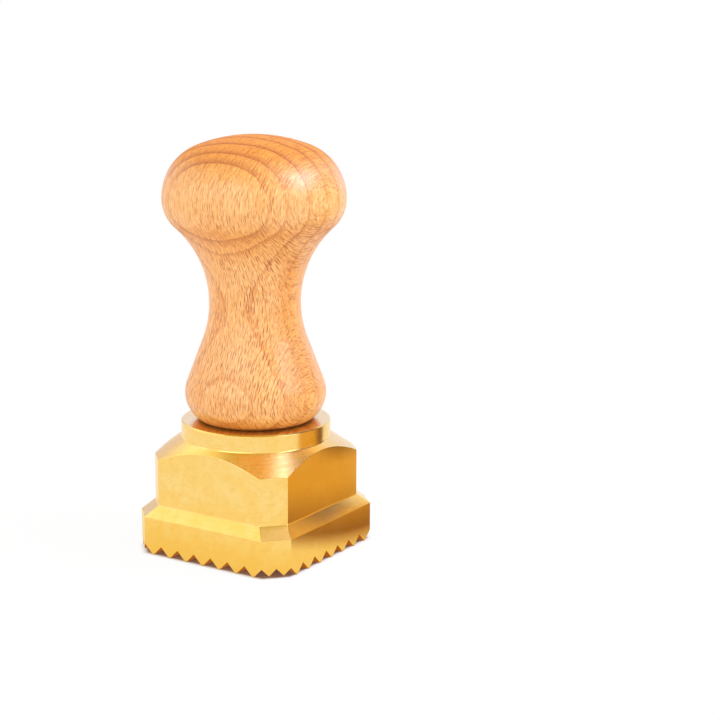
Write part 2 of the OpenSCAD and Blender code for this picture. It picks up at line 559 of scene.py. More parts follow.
@dataclass(frozen=True)
class Beech:
    """Steamed beech with upright growth rings and fine dark ray flecks, under a satin oil, with painted
    shade at its foot and on its sides below the knob.

    Shares and spans are as in the brass. An ease adds the values that it starts and ends with.
    Headings are azimuths in degrees.
    """

    early: Colour = (0.90, 0.435, 0.120)
    late: Colour = (0.75, 0.275, 0.040)
    fleck: Colour = (0.40, 0.082, 0.004)
    pale: Colour = (0.98, 0.585, 0.24)
    end_grain: Colour = (0.80, 0.275, 0.004)
    # Colour of the painted shade at the handle's foot.
    shade: Colour = (0.02, 0.02, 0.02)
    ior: float = 1.70
    roughness: float = 0.33
    fibre_roughness: float = 0.12
    mark_roughness: float = 0.05
    end_roughness: float = 0.6
    pore_depth: float = 0.005 * MM
    fibre_depth: float = 0.6
    # Painted shade: the wood darkens to the shade colour just above its foot, over the crevice at the
    # collar.
    foot_shade_height: Pair = (33.1, 32.2)
    foot_shade_share: float = 0.7
    cloud: Noise = Noise(0.07, 2.0, 0.5)
    pale_span: Pair = (0.45, 0.75)
    pale_share: float = 0.35
    ring_edges: tuple[float, ...] = (-19.0, -14.3, -9.6, -4.8, 0.2, 5.2, 10.5, 15.1, 18.0)
    ring_heading: float = 9.0
    ring_reach: float = 24.0
    ring_waver: float = 1.1
    waver: Noise = Noise(0.06, 2.0, 0.5)
    waver_stretch: Triple = (1.0, 1.0, 0.35)
    ring_lean: float = -0.045
    ring_level: float = 58.0
    late_width: float = 2.1
    edge_width: float = 0.20
    first_darkness: float = 0.3
    early_darkness: float = 0.06
    ring_power: float = 1.6
    ring_ease: Ease = (0.38, 0.58, 0.68, 0.86)
    ring_share: float = 0.78
    ring_line: float = 0.42
    line_power: float = 6.0
    end_tilt: Pair = (0.25, 0.95)
    end_ease: Ease = (76.0, 84.0, 0.6, 1.0)
    end_strength: float = 0.7
    end_share: float = 0.78
    end_line: float = 1.0
    end_power: float = 1.3
    pores: Noise = Noise(2.4, 2.0, 0.7)
    pore_span: Pair = (0.50, 0.66)
    pore_share: float = 0.60
    fibres: Noise = Noise(1.0, 3.0, 0.65)
    fibre_scale: Triple = (1.9, 3.0, 0.34)
    dark_fibre_span: Pair = (0.50, 0.70)
    dark_fibre_share: float = 0.65
    pale_fibre_span: Pair = (0.50, 0.32)
    pale_fibre_share: float = 0.85
    pale_fibre_loss: float = 0.65
    ray_heading: float = 88.5
    ray_pitch: float = 0.58
    ray_length: float = 2.0
    ray_depth: float = 3.8
    facing_span: Pair = (0.74, 0.98)
    # Painted shade: below the knob, the sides that face along the rays, right and left, are tinted with
    # late wood.
    side_shade_height: Pair = (86.0, 72.0)
    side_shade_share: float = 0.42
    broad_scales: Pair = (1.0, 1.6)
    fine_scales: Pair = (1.9, 2.7)
    fine_share: float = 0.98
    fleck_share: float = 0.95
    fleck_shift: Triple = (7.0, 5.0, 3.0)
    fleck_scatter: float = 0.85
    fleck_chance: Ease = (0.1, 0.7, 0.5, 1.0)
    small_share: float = 0.85
    lens: Triple = (1.5, 3.9, 1.35)
    lens_span: Pair = (1.0, 0.40)
    mark_ease: Ease = (92.0, 70.0, 0.75, 1.0)
    ray_ease: Ease = (0.90, 1.0, 1.0, 0.62)

    def material(self) -> bpy.types.Material:
        """The beech as a material on object coordinates.

        Returns:
            The new material.
        """
        material = bpy.data.materials.new("oiled_beech")
        graph = Graph.of(material)
        spot = self.spot(graph)
        by_across, by_aside, by_along = self.fibre_scale
        drawn = graph.combine(
            spot.across * by_across, spot.aside * by_aside, spot.along * by_along
        )
        fibres = graph.noise(drawn, self.fibres)
        facing = spot.ray.between(*self.facing_span)
        marks = self.marks(graph, spot, facing)
        pores = graph.noise(spot.place, self.pores).between(*self.pore_span) * spot.end
        pale = self.pale_fibre_share - spot.end * self.pale_fibre_loss
        # Painted shade on the handle's sides below the knob.
        side_shade = facing * spot.along.between(*self.side_shade_height)
        # Painted shade just above the foot, where the handle meets the collar.
        foot_shade = spot.along.between(*self.foot_shade_height)
        tone = self.ringed(graph, spot)
        for share, colour in (
            (fibres.between(*self.dark_fibre_span) * self.dark_fibre_share, self.late),
            (fibres.between(*self.pale_fibre_span) * pale, self.pale),
            (pores * self.pore_share, self.fleck),
            (side_shade * self.side_shade_share, self.late),
            (marks * self.fleck_share, self.fleck),
            (foot_shade * self.foot_shade_share, self.shade),
        ):
            tone = graph.tint(share, tone, colour)
        rough = self.roughness + (fibres - 0.5) * self.fibre_roughness
        rough = rough + marks * self.mark_roughness + spot.end**2 * self.end_roughness
        graph.close(
            {
                "Base Color": tone,
                "Roughness": rough,
                "IOR": self.ior,
                "Normal": graph.relief(0.0 - marks - fibres * self.fibre_depth, self.pore_depth),
            }
        )
        return material

    def spot(self, graph: Graph) -> WoodSpot:
        """Finds where the shaded point lies in the wood.

        Args:
            graph: the material's nodes.

        Returns:
            The point's place and how the surface cuts the wood there.
        """
        place, normal = graph.place(), graph.normal()
        along = graph.split(place)[2]
        tilt = graph.maths("ABSOLUTE", graph.split(normal)[2])
        return WoodSpot(
            place=place,
            across=graph.towards(place, self.ring_heading),
            aside=graph.towards(place, self.ray_heading),
            along=along,
            end=tilt.between(*self.end_tilt) * along.between(*self.end_ease),
            ray=graph.maths("ABSOLUTE", graph.towards(normal, self.ray_heading)),
        )

    def ringed(self, graph: Graph, spot: WoodSpot) -> Term:
        """The wood's colour with its growth rings alone.

        Args:
            graph: the material's nodes.
            spot: where the point lies in the wood.

        Returns:
            The colour.
        """
        cloud = graph.noise(spot.place, self.cloud)
        strength = cloud.between(*self.ring_ease) + spot.end * self.end_strength
        strength = graph.maths("MINIMUM", strength, 1.0)
        rings = self.rings(graph, spot)
        tone = self.early
        for share, colour in (
            (cloud.between(*self.pale_span) * self.pale_share, self.pale),
            (spot.end * self.end_share, self.end_grain),
            (rings * strength * self.ring_share, self.late),
            (rings**self.line_power * strength * self.ring_line, self.fleck),
            (rings**self.end_power * spot.end * self.end_line, self.fleck),
        ):
            tone = graph.tint(share, tone, colour)
        return tone

    def rings(self, graph: Graph, spot: WoodSpot) -> Term:
        """Darkness of the growth rings, which deepens up to each ring's edge.

        Args:
            graph: the material's nodes.
            spot: where the point lies in the wood.

        Returns:
            A value from 0, early wood, to 1, late wood.
        """
        low = graph.maths("MAXIMUM", self.ring_level - spot.along, 0.0)
        waver = graph.noise(graph.vector("MULTIPLY", spot.place, self.waver_stretch), self.waver)
        bent = spot.across + low * self.ring_lean + (waver - 0.5) * (2 * self.ring_waver)
        span = 2 * self.ring_reach
        stops = [(0.0, grey(self.first_darkness))]
        for edge in self.ring_edges:
            here = (edge + self.ring_reach) / span
            stops += [
                (here - self.late_width / span, grey(self.early_darkness)),
                (here, grey(1.0)),
                (here + self.edge_width / span, grey(0.0)),
            ]
        return graph.ramp((bent + self.ring_reach) / span, stops) ** self.ring_power

    def marks(self, graph: Graph, spot: WoodSpot, facing: Term) -> Term:
        """Strength of the ray flecks, which are finer where the rays face the surface.

        Args:
            graph: the material's nodes.
            spot: where the point lies in the wood.
            facing: 1 where the rays face the surface, else 0.

        Returns:
            A value from 0, plain wood, to 1, in a fleck.
        """
        cell = graph.combine(
            spot.across / self.ray_depth, spot.aside / self.ray_pitch, spot.along / self.ray_length
        )
        broad = self.flecks(graph, cell, self.broad_scales)
        fine = self.flecks(graph, cell, self.fine_scales)
        marks = broad + (fine * self.fine_share - broad) * facing
        return marks * spot.along.between(*self.mark_ease) * spot.ray.between(*self.ray_ease)

    def flecks(self, graph: Graph, cell: Term, scales: Pair) -> Term:
        """Ray flecks of two sizes: upright lenses scattered through the wood.

        Args:
            graph: the material's nodes.
            cell: position in cells of one ray each: along the ray, across it and upwards.
            scales: number of rays to a cell's width for either size.

        Returns:
            A value from 0, plain wood, to 1, in a fleck.
        """
        sets = []
        for scale in scales:
            scaled = graph.vector("MULTIPLY", cell, (scale, scale, scale))
            moved = graph.vector("ADD", scaled, tuple(scale * step for step in self.fleck_shift))
            sockets = {"Vector": moved, "Scale": 1.0, "Randomness": self.fleck_scatter}
            cells = graph.add("ShaderNodeTexVoronoi", sockets)
            away = graph.vector("SUBTRACT", moved, Term(graph, cells.outputs["Position"]))
            off = graph.vector("LENGTH", graph.vector("MULTIPLY", away, self.lens))
            lot = graph.out("ShaderNodeSeparateColor", {0: Term(graph, cells.outputs["Color"])})
            sets.append(off.between(*self.lens_span) * lot.between(*self.fleck_chance))
        large, small = sets
        return graph.maths("MAXIMUM", large, small * self.small_share)


@dataclass(frozen=True)
class ZincSteel:
    """Zinc-plated steel of a bought stud."""

    colour: Colour = (0.62, 0.63, 0.65)
    warm: Colour = (0.60, 0.57, 0.50)
    cloud: Noise = Noise(0.5, 3.0, 0.6)
    cloud_span: Pair = (0.4, 0.7)
    roughness: float = 0.33
    roughness_spread: float = 0.15
    grain: Noise = Noise(6.0, 2.0, 0.6)

    def material(self) -> bpy.types.Material:
        """The plated steel as a material on object coordinates.

        Returns:
            The new material.
        """
        material = bpy.data.materials.new("zinc_steel")
        graph = Graph.of(material)
        place = graph.place()
        cloud = graph.noise(place, self.cloud).between(*self.cloud_span)
        grain = graph.noise(place, self.grain)
        graph.close(
            {
                "Base Color": graph.tint(cloud, self.colour, self.warm),
                "Metallic": 1.0,
                "Roughness": self.roughness + (grain - 0.5) * self.roughness_spread,
            }
        )
        return material


@dataclass
class Die:
    """The brass die: toothed flange, ledge, square block, turned cone and collar."""

    width: float
    top: float
    flange_corner: float = 5 * MM
    flange_height: float = 9.3 * MM
    ledge_rise: float = 2.6 * MM
    ledge_round: float = 0.6 * MM
    block_width: float = 39.8 * MM
    block_corner: float = 4.8 * MM
    cone_angle: float = math.radians(34.5)
    collar_foot: float = 27.9 * MM
    collar_radius: float = 18.35 * MM
    collar_round: float = 0.5 * MM
    collar_bevel: float = 0.3 * MM
    side_teeth: int = 7
    corner_teeth: int = 2
    tooth_flat: float = 0.2 * MM
    rim_width: float = 4 * MM
    groove_reach: float = 1.5
    groove_lap: float = 1 * MM
    land_step: float = 0.8 * MM
    pocket_radius: float = 15 * MM
    pocket_height: float = 14 * MM
    pocket_round: float = 3 * MM
    pocket_bevel: float = 0.6 * MM
    hole_radius: float = 4.05 * MM
    hole_depth: float = 13.3 * MM
    hole_bevel: float = 0.8 * MM
    drill_angle: float = math.radians(118)
    edge_round: float = 0.22 * MM
    tooth_edge: float = 0.06 * MM
    sharp_angle: float = math.radians(32)
    flat_angle: float = math.radians(0.2)
    cells_per_tooth: int = 6
    corner_cells_per_tooth: int = 4
    steps: int = 4
    finish: SatinBrass = field(default_factory=SatinBrass)

    def octagon(self, width: float, leg: float) -> np.ndarray:
        """The outline of a square with chamfered corners, as rows of x and y.

        Args:
            width: width of the square.
            leg: leg of each chamfer.

        Returns:
            Points in order round the outline, its eight corners rounded.
        """
        half, end = width / 2, width / 2 - leg
        corners = []
        for quarter in range(SIDES):
            cos, sin = round(math.cos(quarter * QUARTER)), round(math.sin(quarter * QUARTER))
            for side in (-end, end):
                corners.append((half * cos - side * sin, half * sin + side * cos))
        corners = np.array(corners)
        cells = (
            self.cells_per_tooth * self.side_teeth,
            self.corner_cells_per_tooth * self.corner_teeth,
        )
        points = []
        for k, corner in enumerate(corners):
            ahead = corners[(k + 1) % len(corners)]
            points += rounded(corners[k - 1], corner, ahead, self.edge_round, self.steps)
            count = cells[k % 2]
            points += [corner + (ahead - corner) * i / count for i in range(1, count)]
        return np.array(points)

    def ring(self, outline: np.ndarray, height: float | np.ndarray) -> np.ndarray:
        """The outline raised to a height."""
        return np.c_[outline, np.broadcast_to(height, len(outline))]

    def circle(self, radius: float, height: float) -> np.ndarray:
        """A level circle whose points stand in line with the block's."""
        return self.ring(unit(self.octagon(self.block_width, self.block_corner)) * radius, height)

    def rings(self) -> list[np.ndarray]:
        """Every ring of the blank, from the pocket's roof down, out, up and into the stud's hole.

        Returns:
            Rings of points in order, the sharp ones already rounded.
        """
        flange = self.octagon(self.width, self.flange_corner)
        block = self.octagon(self.block_width, self.block_corner)
        across = (self.width - self.flange_corner) / math.sqrt(2) - self.rim_width
        recess_width = self.width - 2 * self.rim_width
        recess = self.octagon(recess_width, recess_width - across * math.sqrt(2))
        land = self.groove_depth() + self.land_step
        beyond_collar = np.linalg.norm(block, axis=1) - self.collar_radius
        cone = self.collar_foot - beyond_collar * math.tan(self.cone_angle)
        hole_end = self.top - self.hole_depth
        hole_tip = hole_end - self.hole_radius / math.tan(self.drill_angle / 2)
        bevel = self.pocket_bevel
        soft = self.edge_round
        plan = [
            (self.circle(0, self.pocket_height), 0),
            (self.circle(self.pocket_radius, self.pocket_height), self.pocket_round),
            (self.circle(self.pocket_radius, land + bevel), soft / 2),
            (self.circle(self.pocket_radius + bevel, land), soft / 2),
            (self.ring(recess, land), soft),
            (self.ring(recess, 0), 0),
            (self.ring(flange, 0), 0),
            (self.ring(flange, self.flange_height), soft),
            (self.ring(block, self.flange_height + self.ledge_rise), self.ledge_round),
            (self.ring(block, cone), soft),
            (self.circle(self.collar_radius, self.collar_foot), self.collar_round),
            (self.circle(self.collar_radius, self.top - self.collar_bevel), soft / 2),
            (self.circle(self.collar_radius - self.collar_bevel, self.top), soft / 2),
            (self.circle(self.hole_radius + self.hole_bevel, self.top), soft / 2),
            (self.circle(self.hole_radius, self.top - self.hole_bevel), soft / 2),
            (self.circle(self.hole_radius, hole_end), 0),
            (self.circle(0, hole_tip), 0),
        ]
        rings = []
        for k, (ring, radius) in enumerate(plan):
            if radius:
                rings += rounded(plan[k - 1][0], ring, plan[k + 1][0], radius, self.steps)
            else:
                rings.append(ring)
        return rings

    def groove_depth(self) -> float:
        """Depth of the right-angled V grooves that leave the flat on each tooth."""
        pitch = (self.width - 2 * self.flange_corner) / self.side_teeth
        return (pitch - self.tooth_flat) / 2

    def blank(self) -> bpy.types.Object:
        """The die before its teeth are cut.

        Returns:
            A closed mesh of the rings, with a single point at either end.
        """
        rings = self.rings()
        inner = rings[1:-1]
        count = len(rings[0])
        points = [rings[0][0], *np.concatenate(inner), rings[-1][0]]
        last = len(points) - 1
        faces = []
        for j in range(count):
            ahead = (j + 1) % count
            faces.append((0, 1 + ahead, 1 + j))
            for i in range(len(inner) - 1):
                low, high = 1 + i * count, 1 + (i + 1) * count
                faces.append((low + j, low + ahead, high + ahead, high + j))
            end = 1 + (len(inner) - 1) * count
            faces.append((end + j, end + ahead, last))
        return new_piece("toothed_die", points, faces=faces)

    def teeth(self) -> GeometryTree:
        """The tree that cuts the V grooves of the rim.

        Returns:
            A tree that takes the blank and the sizes of the rim.
        """
        lengths = dict.fromkeys(("Width", "Corner leg", "Rim width", "Groove depth"), "NodeSocketFloat")
        counts = dict.fromkeys(("Side teeth", "Corner teeth"), "NodeSocketInt")
        tree = GeometryTree("Rim teeth", lengths | counts)
        width, leg, depth = map(tree.given, ("Width", "Corner leg", "Groove depth"))
        straight = width - 2 * leg
        cutter = self.cutter(tree, tree.given("Rim width") * self.groove_reach, depth)
        sides = self.row(tree, cutter, width / 2, straight, tree.given("Side teeth"))
        across = (width - leg) / math.sqrt(2)
        middles = self.row(tree, cutter, across, leg * math.sqrt(2), tree.given("Corner teeth"))
        middles = tree.out(
            "GeometryNodeTransform", {"Geometry": middles, "Rotation": (0, 0, QUARTER / 2)}
        )
        edges = [
            tree.out(
                "GeometryNodeTransform",
                {
                    "Geometry": cutter,
                    "Translation": tree.combine(width / 2, straight * end / 2),
                    "Rotation": (0, 0, end * QUARTER / 4),
                    "Scale": (1, math.cos(QUARTER / 4), 1),
                },
            )
            for end in (-1, 1)
        ]
        quarter = tree.joined([sides, middles, *edges])
        spots = tree.out("GeometryNodeMeshLine", {"Count": SIDES, "Offset": (0, 0, 0)})
        turns = tree.combine(0, 0, tree.index() * QUARTER)
        turned = tree.out(
            "GeometryNodeInstanceOnPoints",
            {"Points": spots, "Instance": quarter, "Rotation": turns},
        )
        grooves = tree.out("GeometryNodeRealizeInstances", {"Geometry": turned})
        cut = tree.out(
            "GeometryNodeMeshBoolean",
            {"Mesh 1": tree.given("Geometry"), "Mesh 2": grooves, "Self Intersection": True},
            operation="DIFFERENCE",
            solver="EXACT",
        )
        angle = tree.out("GeometryNodeInputMeshEdgeAngle")
        sharp = tree.maths("GREATER_THAN", angle, self.sharp_angle)
        in_rim = tree.maths("LESS_THAN", tree.split(tree.position())[2], depth + self.tooth_edge)
        marked = tree.out(
            "GeometryNodeStoreNamedAttribute",
            {
                "Geometry": tree.welded(cut, WELD),
                "Name": "bevel_weight_edge",
                "Value": sharp * in_rim,
            },
            data_type="FLOAT",
            domain="EDGE",
        )
        tree.end(marked)
        return tree

    def cutter(self, tree: GeometryTree, length: Term, depth: Term) -> Term:
        """A V-shaped prism along -X from the origin, its ridge upwards.

        Args:
            tree: tree that it is added to.
            length: reach inward from the face.
            depth: height of the ridge.

        Returns:
            The prism, which laps past the rim outward and downward.
        """
        lap = self.groove_lap
        size = tree.combine(length + lap, (depth + lap) * 2, depth + lap)
        box = tree.out("GeometryNodeMeshCube", {"Size": size})
        x, y, z = tree.split(tree.position())
        below = tree.maths("LESS_THAN", z, 0.0)
        prism = tree.welded(tree.moved(box, tree.combine(x, y * below, z)), WELD)
        shift = tree.combine((lap - length) / 2, 0.0, (depth - lap) / 2)
        return tree.out("GeometryNodeTransform", {"Geometry": prism, "Translation": shift})

    @staticmethod
    def row(tree: GeometryTree, cutter: Term, reach: Term, side: Term, teeth: Term) -> Term:
        """Cutters between the teeth of one side that faces +X.

        Args:
            tree: tree that they are added to.
            cutter: the prism.
            reach: distance of the side from the axis.
            side: length of the side.
            teeth: number of teeth along it.

        Returns:
            The instanced cutters.
        """
        pitch = side / teeth
        line = tree.out(
            "GeometryNodeMeshLine",
            {
                "Count": teeth - 1,
                "Start Location": tree.combine(reach, pitch - side / 2),
                "Offset": tree.combine(0.0, pitch),
            },
        )
        return tree.out("GeometryNodeInstanceOnPoints", {"Points": line, "Instance": cutter})

    def build(self) -> bpy.types.Object:
        """Makes the die's mesh: blank, teeth, softened tooth edges and even shading.

        Returns:
            The finished piece, riding on the stamp.
        """
        piece = self.blank()
        self.teeth().run(
            piece,
            {
                "Width": self.width,
                "Corner leg": self.flange_corner,
                "Rim width": self.rim_width,
                "Groove depth": self.groove_depth(),
                "Side teeth": self.side_teeth,
                "Corner teeth": self.corner_teeth,
                "Finish": self.finish.material(),
            },
        )
        for face in piece.data.polygons:
            face.use_smooth = True
        flat = piece.modifiers.new("Flat faces", "DECIMATE")
        flat.decimate_type = "DISSOLVE"
        flat.angle_limit = self.flat_angle
        bevel = piece.modifiers.new("Tooth edges", "BEVEL")
        bevel.width = self.tooth_edge
        bevel.segments = 2
        bevel.limit_method = "WEIGHT"
        shade_evenly(piece)
        return mounted(piece, "die")


class Lathe:
    """The tree that turns an outline in the XZ plane about Z."""

    def __init__(self) -> None:
        """Builds the tree once for every turned piece."""
        tree = GeometryTree("Lathe", {"Segments": "NodeSocketInt"})
        outline, segments = tree.given("Geometry"), tree.given("Segments")
        rows = tree.out(
            "GeometryNodeAttributeDomainSize",
            {"Geometry": outline},
            "Point Count",
            component="MESH",
        )
        sheet = tree.out("GeometryNodeMeshGrid", {"Vertices X": segments + 1, "Vertices Y": rows})
        sample = tree.out(
            "GeometryNodeSampleIndex",
            {"Geometry": outline, "Value": tree.position(), "Index": tree.index() % rows},
            data_type="FLOAT_VECTOR",
            domain="POINT",
        )
        angle = (tree.index() / rows).floor() * (2 * math.pi) / segments
        turned = tree.out(
            "ShaderNodeVectorRotate", {"Vector": sample, "Angle": angle}, rotation_type="Z_AXIS"
        )
        skin = tree.welded(tree.moved(sheet, turned), AXIS_WELD)
        tree.end(tree.out("GeometryNodeSetShadeSmooth", {"Geometry": skin}))
        self.tree = tree

    def turn(
        self, name: str, outline: np.ndarray, segments: int, finish: bpy.types.Material
    ) -> bpy.types.Object:
        """Turns one piece.

        Args:
            name: name of the piece.
            outline: rows of radius and height from one end of the axis to the other.
            segments: number of facets round the axis.
            finish: the piece's material.

        Returns:
            The piece as a closed mesh.
        """
        points = [(radius, 0.0, height) for radius, height in outline]
        edges = [(i, i + 1) for i in range(len(points) - 1)]
        piece = new_piece(name, points, edges)
        self.tree.run(piece, {"Segments": segments, "Finish": finish})
        return piece


@dataclass
class Handle:
    """The turned beech handle: knob, neck and bulge over a drilled foot."""

    foot: float
    top: float
    knob_radius: float
    knob_drop: float = 15.2 * MM
    crown_radius: float = 38 * MM
    shoulder_radius: float = 13.4 * MM
    under_radius: float = 9.1 * MM
    neck_radius: float = 11.15 * MM
    neck_height: float = 29 * MM
    hollow_radius: float = 25.2 * MM
    bulge_half: float = 17.3 * MM
    bulge_height: float = 6.75 * MM
    bulge_radius: float = 7.95 * MM
    hole_radius: float = 3.55 * MM
    hole_depth: float = 25.3 * MM
    hole_bevel: float = 0.8 * MM
    drill_angle: float = math.radians(118)
    turn_step: float = math.radians(1.6)
    segments: int = 288
    finish: Beech = field(default_factory=Beech)

    def arc(self, centre: np.ndarray, radius: float, start: float, end: float) -> list[np.ndarray]:
        """Points along an arc, from one heading to another."""
        count = max(2, math.ceil(abs(end - start) / self.turn_step))
        headings = np.linspace(start, end, count + 1)
        return [centre + radius * np.array([math.cos(turn), math.sin(turn)]) for turn in headings]

    def outline(self) -> np.ndarray:
        """Radius and height from the tip of the drilled hole, out over the foot and up to the top.

        Returns:
            Rows of radius and height above the origin.
        """
        height = self.top - self.foot
        crown = np.array([0.0, height - self.crown_radius])
        under = np.array([self.knob_radius - self.under_radius, height - self.knob_drop])
        shoulder = self.shoulder_centre(crown, under)
        inset = under[0] - self.neck_radius
        rise = under[1] - self.neck_height
        upper = (rise**2 + inset**2 - self.under_radius**2) / (2 * (self.under_radius + inset))
        hollow = np.array([self.neck_radius + upper, self.neck_height])
        lower = np.array([self.neck_radius + self.hollow_radius, self.neck_height])
        bulge = np.array([self.bulge_half - self.bulge_radius, self.bulge_height])
        lean = math.acos((self.bulge_radius + self.hollow_radius) / math.dist(lower, bulge))
        flank = heading(bulge, lower) - lean
        low_turn = -math.asin(self.bulge_height / self.bulge_radius)
        into_knob = heading(shoulder, under)
        onto_crown = heading(crown, shoulder)
        hole = self.hole_radius
        tip = self.hole_depth + hole / math.tan(self.drill_angle / 2)
        points = [
            np.array([0.0, tip]),
            np.array([hole, self.hole_depth]),
            np.array([hole, self.hole_bevel]),
            np.array([hole + self.hole_bevel, 0.0]),
            *self.arc(bulge, self.bulge_radius, low_turn, flank),
            *self.arc(lower, self.hollow_radius, flank + math.pi, math.pi),
            *self.arc(hollow, upper, math.pi, heading(hollow, under))[1:],
            *self.arc(under, self.under_radius, heading(under, hollow), into_knob)[1:],
            *self.arc(shoulder, self.shoulder_radius, into_knob, onto_crown)[1:],
            *self.arc(crown, self.crown_radius, onto_crown, QUARTER)[1:],
        ]
        points[-1][0] = 0.0
        return np.array(points) + [0.0, self.foot]

    def shoulder_centre(self, crown: np.ndarray, under: np.ndarray) -> np.ndarray:
        """Centre of the shoulder's arc, which touches the crown's and the one under the knob."""
        from_crown = self.crown_radius - self.shoulder_radius
        from_under = self.shoulder_radius - self.under_radius
        span = math.dist(crown, under)
        along = (span**2 + from_crown**2 - from_under**2) / (2 * span)
        ahead = (under - crown) / span
        left = np.array([-ahead[1], ahead[0]])
        return crown + along * ahead + math.sqrt(from_crown**2 - along**2) * left

    def build(self, lathe: Lathe) -> bpy.types.Object:
        """Turns the handle.

        Args:
            lathe: the shared turning tree.

        Returns:
            The finished piece, riding on the stamp.
        """
        piece = lathe.turn("turned_handle", self.outline(), self.segments, self.finish.material())
        shade_evenly(piece)
        return mounted(piece, "handle")


@dataclass
class Stud:
    """The hidden stud: a machine thread in the die and a wood thread in the handle."""

    low: float
    joint: float
    high: float
    die_radius: float = 4 * MM
    wood_radius: float = 3.5 * MM
    bevel: float = 1 * MM
    tip: float = 5 * MM
    die_pitch: float = 1.25 * MM
    wood_pitch: float = 2.8 * MM
    die_depth: float = 0.68 * MM
    wood_depth: float = 0.85 * MM
    die_slope: float = 1.1
    wood_slope: float = 1.9
    run_out: float = 1.2 * MM
    row: float = 0.15 * MM
    segments: int = 56
    finish: ZincSteel = field(default_factory=ZincSteel)

    def outline(self) -> np.ndarray:
        """Radius and height from the lower end up to the tip, in rows fine enough for the threads."""
        corners = [
            (0.0, self.low),
            (self.die_radius - self.bevel, self.low),
            (self.die_radius, self.low + self.bevel),
            (self.die_radius, self.joint),
            (self.wood_radius, self.joint),
            (self.wood_radius, self.high - self.tip),
            (0.0, self.high),
        ]
        points = [np.array(corners[0])]
        for start, end in zip(corners, corners[1:]):
            count = max(1, math.ceil(abs(end[1] - start[1]) / self.row))
            points += list(np.linspace(start, end, count + 1)[1:])
        return np.array(points)

    @staticmethod
    def threads() -> GeometryTree:
        """The tree that cuts one thread into a turned rod.

        Returns:
            A tree that takes the rod and the thread's sizes, and only moves points inwards.
        """
        names = ("Low", "High", "Radius", "Pitch", "Depth", "Slope", "Run-out")
        tree = GeometryTree("Thread", dict.fromkeys(names, "NodeSocketFloat"))
        low, high, radius, pitch, depth, slope, out = map(tree.given, names)
        position = tree.position()
        x, y, z = tree.split(position)
        turn = z / pitch - tree.maths("ARCTAN2", y, x) / (2 * math.pi)
        wave = tree.maths("ABSOLUTE", turn - turn.floor() - 0.5) * 2 * slope
        share = z.between(low, low + out) * z.between(high, high - out)
        cut = tree.maths("MINIMUM", wave, 1.0) * share * depth / radius
        inward = tree.vector("MULTIPLY", position, tree.combine(1.0 - cut, 1.0 - cut, 1.0))
        tree.end(tree.moved(tree.given("Geometry"), inward))
        return tree

    def build(self, lathe: Lathe) -> bpy.types.Object:
        """Turns the stud and cuts its two threads.

        Args:
            lathe: the shared turning tree.

        Returns:
            The finished piece, riding on the stamp.
        """
        steel = self.finish.material()
        piece = lathe.turn("threaded_stud", self.outline(), self.segments, steel)
        threads = self.threads()
        die_end = {
            "Low": self.low + self.bevel / 2,
            "High": self.joint - self.run_out,
            "Radius": self.die_radius,
            "Pitch": self.die_pitch,
            "Depth": self.die_depth,
            "Slope": self.die_slope,
        }
        wood_end = {
            "Low": self.joint + self.run_out,
            "High": self.high + self.run_out,
            "Radius": self.wood_radius,
            "Pitch": self.wood_pitch,
            "Depth": self.wood_depth,
            "Slope": self.wood_slope,
        }
        for sizes in (die_end, wood_end):
            threads.run(piece, {**sizes, "Run-out": self.run_out, "Finish": steel})
        return mounted(piece, "stud")


@dataclass(frozen=True)
class Lamp:
    """A soft box that looks at the stamp."""

    name: str
    azimuth: float
    elevation: float
    distance: float
    width: float
    height: float
    radiance: float
    colour: Colour = (1.0, 1.0, 1.0)

    def build(self, target: Vector) -> None:
        """Hangs the lamp at its place, turned to the target."""
        data = bpy.data.lights.new(self.name, "AREA")
        data.shape = "RECTANGLE"
        data.size, data.size_y = self.width, self.height
        data.color = self.colour
        data.energy = self.radiance * math.pi * self.width * self.height
        lamp = linked(self.name, data)
        away = direction(self.azimuth, self.elevation)
        lamp.location = target + away * self.distance
        lamp.rotation_euler = away.to_track_quat("Z", "Y").to_euler()


@dataclass(frozen=True)
class Card:
    """An upright curved card beside the stamp that glows in its own colours and is seen only in gloss,
    where it gives the brass's right side a dark amber reflection.

    It has its middle colour from the first to the second of its stops, shares of its height, and
    its high colour from the third on. The stops differ between its left and its right.
    """

    place: Pair = (50 * MM, 25 * MM)
    radius: float = 22.6 * MM
    height: float = 105 * MM
    gap: float = 0.5 * MM
    low: Colour = (0.26, 0.10, 0.02)
    middle: Colour = (0.75, 0.43, 0.07)
    high: Colour = (0.15, 0.045, 0.0)
    left_stops: Triple = (0.12, 0.17, 0.22)
    right_stops: Triple = (0.12, 0.30, 0.40)
    right_from: Pair = (27.8, 32.0)
    columns: int = 48

    def build(self) -> None:
        """Stands the card on the floor, with a colour that changes with height."""
        turns = np.linspace(0, 2 * math.pi, self.columns, endpoint=False)
        x, y = self.place
        rim = [(x + self.radius * math.cos(t), y + self.radius * math.sin(t)) for t in turns]
        points = [(*spot, z) for z in (self.gap, self.height) for spot in rim]
        count = self.columns
        faces = [(i, (i + 1) % count, count + (i + 1) % count, count + i) for i in range(count)]
        card = new_piece("warm_card", points, faces=faces)
        material = bpy.data.materials.new("warm_card")
        graph = Graph.of(material)
        across, _, up = graph.split(graph.place())
        share = up / (self.height / MM)
        left = self.colours(graph, share, self.left_stops)
        right = self.colours(graph, share, self.right_stops)
        graph.show(graph.glow(graph.tint(across.between(*self.right_from), left, right)))
        card.data.materials.append(material)
        card.visible_camera = card.visible_diffuse = card.visible_shadow = False

    def colours(self, graph: Graph, share: Term, stops: Triple) -> Term:
        """The card's colour at a share of its height."""
        start, end, top = stops
        middles = [(start, self.middle), (end, self.middle)]
        return graph.ramp(share, [(0.0, self.low), *middles, (top, self.high), (1.0, self.high)])


@dataclass(frozen=True)
class Patch:
    """A part of the sky round one direction, dimmer or brighter than the rest.

    All four sizes are angles in degrees.
    """

    azimuth: float
    elevation: float
    core: float
    rim: float
    colour: Colour


